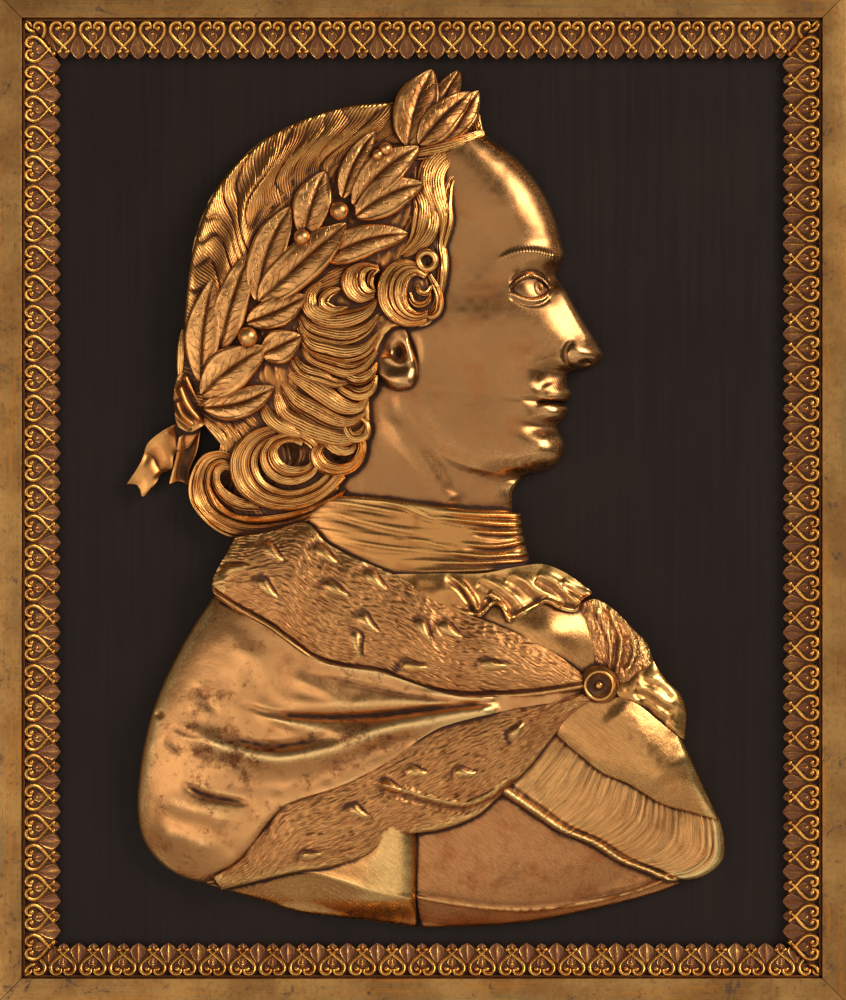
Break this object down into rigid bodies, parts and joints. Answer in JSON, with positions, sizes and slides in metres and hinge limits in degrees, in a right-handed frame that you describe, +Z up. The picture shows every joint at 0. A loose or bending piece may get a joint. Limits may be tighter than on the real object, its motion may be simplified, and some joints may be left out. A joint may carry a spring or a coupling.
{
  "type": "relief plaque",
  "caption": "Wall plaque: cast profile bust in relief on a dark panel, edged by a leaf-and-heart moulding and a flat band frame.",
  "frame": {"origin": "centre of the panel's back face, which rests against the wall", "axes": "+Z up, +X to the right seen from the front, +Y into the wall; the relief faces -Y"},
  "size_m": [0.432, 0.0501, 0.512],
  "materials": {
    "gilt_bronze": "worn fire gilding, brown in the hollows",
    "dark_panel": "near-black brown stain, satin",
    "ormolu": "polished cast brass, reddish brown in the hollows",
    "band_brass": "brushed lengthwise, tarnished in patches"
  },
  "bodies": {
    "root": {"relief_bust": "gilt_bronze", "back_panel": "dark_panel", "leaf_strip_top": "ormolu", "leaf_strip_bottom": "ormolu", "leaf_strip_left": "ormolu", "leaf_strip_right": "ormolu", "frame_rail_top": "band_brass", "frame_rail_bottom": "band_brass", "frame_rail_left": "band_brass", "frame_rail_right": "band_brass"}
  },
  "joints": []
}
